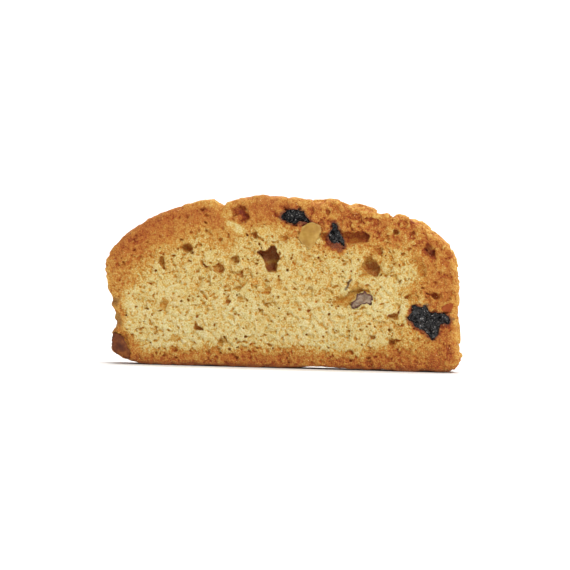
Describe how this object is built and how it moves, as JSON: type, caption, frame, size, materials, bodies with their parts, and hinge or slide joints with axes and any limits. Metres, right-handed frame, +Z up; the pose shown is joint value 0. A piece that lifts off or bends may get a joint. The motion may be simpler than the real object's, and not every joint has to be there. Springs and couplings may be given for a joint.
{
  "type": "biscotti",
  "caption": "Slice of a fruit and nut biscotti loaf standing on its flat baked base, with raisins, nuts and open crumb showing in both cut faces.",
  "frame": {"origin": "middle of the flat base: half way along the slice and half way through its thickness, on the plane it rests on", "axes": "+X along the slice, towards the end with the large raisin; +Y through its thickness, away from the front cut face; +Z up, towards the rounded top crust"},
  "size_m": [0.1001, 0.016, 0.0483],
  "materials": {
    "crumb": "matt open crumb, browned to a rough crust at its edges",
    "raisin": "wrinkled, half gloss, nearly black",
    "sultana": "smooth, half gloss, dark red brown",
    "pale_nut": "smooth, waxy, pale ochre",
    "walnut": "matt grey beige flesh with a dark skin",
    "peel": "candied, translucent, glossy"
  },
  "bodies": {
    "root": {"biscotti_slice": "crumb", "raisin_top": "raisin", "raisin_spire": "raisin", "raisin_large": "raisin", "sultana_corner": "sultana", "nut_pale": "pale_nut", "walnut_chip": "walnut", "orange_peel": "peel", "raisin_back_left": "raisin", "raisin_back_right": "raisin", "nut_back": "pale_nut", "walnut_back": "walnut"}
  },
  "joints": []
}
